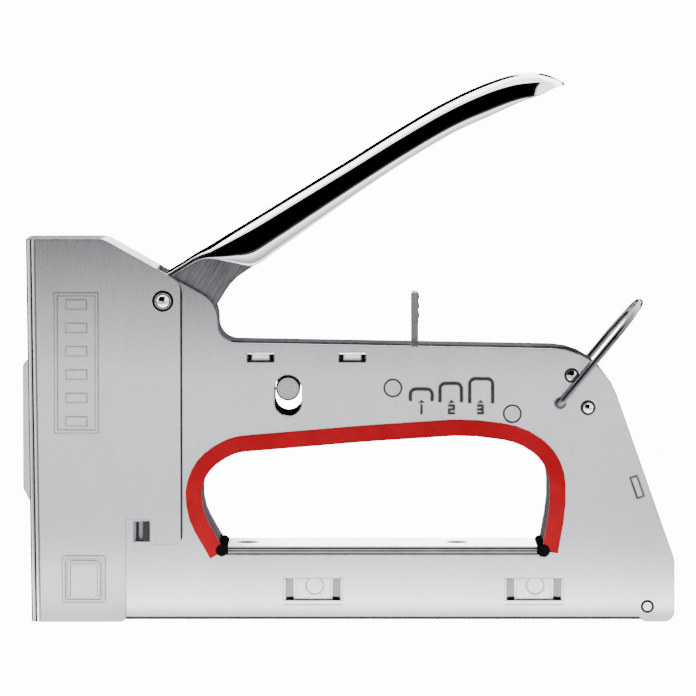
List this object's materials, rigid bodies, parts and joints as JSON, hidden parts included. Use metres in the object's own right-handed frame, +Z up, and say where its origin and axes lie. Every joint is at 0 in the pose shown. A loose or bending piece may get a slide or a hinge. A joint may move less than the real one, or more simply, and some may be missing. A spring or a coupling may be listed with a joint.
{
  "type": "staple gun",
  "caption": "All-steel hand staple gun with a long chrome lever, D-shaped hand opening with red trim, force selector, lock bail and rear-loading magazine.",
  "frame": {"origin": "middle of the length and width, on the plane of the nose and heel undersides", "axes": "+X from the nose to the heel, +Y to the tool's right side, +Z up"},
  "size_m": [0.172, 0.0306, 0.1444],
  "materials": {
    "plated_plate": "satin zinc plate with fine vertical grain",
    "plated_cover": "satin zinc plate with fine vertical grain",
    "bright_rivet": "polished domed head",
    "flush_rivet": "turned flush end",
    "strap_grey": "dark grey, satin",
    "red_trim": "moulded, satin",
    "beam_bright": "polished plate with fine scratches",
    "inner_steel": "plain steel, lightly oiled",
    "bumper_rubber": "moulded rubber",
    "staple_wire": "galvanised wire",
    "spring_steel": "oil-tempered spring steel",
    "lever_chrome": "mirror polish",
    "ground_steel": "cross-ground under the plate",
    "selector_steel": "knurled edge",
    "turned_steel": "turned end face with concentric rings",
    "bail_bright": "bright drawn wire",
    "black_plastic": "moulded, fine texture"
  },
  "bodies": {
    "frame": {"left_side_plate": "plated_plate", "right_side_plate": "plated_plate", "nose_cover": "plated_cover", "lever_pin": "bright_rivet", "top_spine": "plated_plate", "rear_spine": "plated_plate", "spacer_rivets": "flush_rivet", "bail_studs": "bright_rivet", "heel_pin": "flush_rivet", "hand_strap": "strap_grey", "grip_trim_left": "red_trim", "grip_trim_right": "red_trim", "beam_cap": "beam_bright", "spring_cap": "inner_steel", "bumper": "bumper_rubber", "bumper_shelf": "inner_steel", "driver_guide": "inner_steel", "staple_channel": "inner_steel", "track_spacers": "inner_steel", "core_rail": "inner_steel", "staple_strip": "staple_wire", "main_spring": "spring_steel"},
    "lever": {"lever_shell": "lever_chrome", "lever_cheeks": "ground_steel", "lever_bush": "inner_steel"},
    "hammer": {"hammer_block": "inner_steel", "hammer_pins": "bright_rivet", "driver_blade": "spring_steel"},
    "selector": {"force_selector": "selector_steel", "selector_bar": "inner_steel"},
    "force": {"force_pin": "turned_steel"},
    "bail": {"lock_bail": "bail_bright"},
    "magazine": {"magazine_end": "black_plastic", "guide_rod": "bright_rivet", "latch_clip": "spring_steel", "pusher_spring": "spring_steel"},
    "pusher": {"staple_pusher": "inner_steel"}
  },
  "joints": [
    {"name": "lever_hinge", "type": "hinge", "parent": "frame", "child": "lever", "pos_m": [-0.0486, 0, 0.0846], "axis": [0, 1, 0], "range_deg": [0, 30], "stiffness_Nm_per_rad": 3, "springref_deg": -34.38},
    {"name": "hammer_slide", "type": "slide", "parent": "frame", "child": "hammer", "axis": [0, 0, 1], "range_m": [0, 0.01409], "deforming": ["main_spring"]},
    {"name": "selector_slide", "type": "slide", "parent": "frame", "child": "selector", "axis": [1, 0, 0], "range_m": [0, 0.0156]},
    {"name": "force_pin_slide", "type": "slide", "parent": "frame", "child": "force", "axis": [0, 0, 1], "range_m": [-0.0037, 0]},
    {"name": "bail_hinge", "type": "hinge", "parent": "frame", "child": "bail", "pos_m": [0.0558, 0, 0.0577], "axis": [0, 1, 0], "range_deg": [-15, 39]},
    {"name": "magazine_slide", "type": "slide", "parent": "frame", "child": "magazine", "axis": [1, 0, 0], "range_m": [0, 0.16]},
    {"name": "pusher_slide", "type": "slide", "parent": "magazine", "child": "pusher", "axis": [1, 0, 0], "range_m": [0, 0.055], "stiffness_N_per_m": 60, "springref_m": -0.01, "deforming": ["pusher_spring"]}
  ],
  "couplings": [
    {"joint": "hammer_slide", "follows": "lever_hinge", "m_per_rad": 0.026815},
    {"joint": "force_pin_slide", "follows": "selector_slide", "ratio": -0.23718}
  ]
}
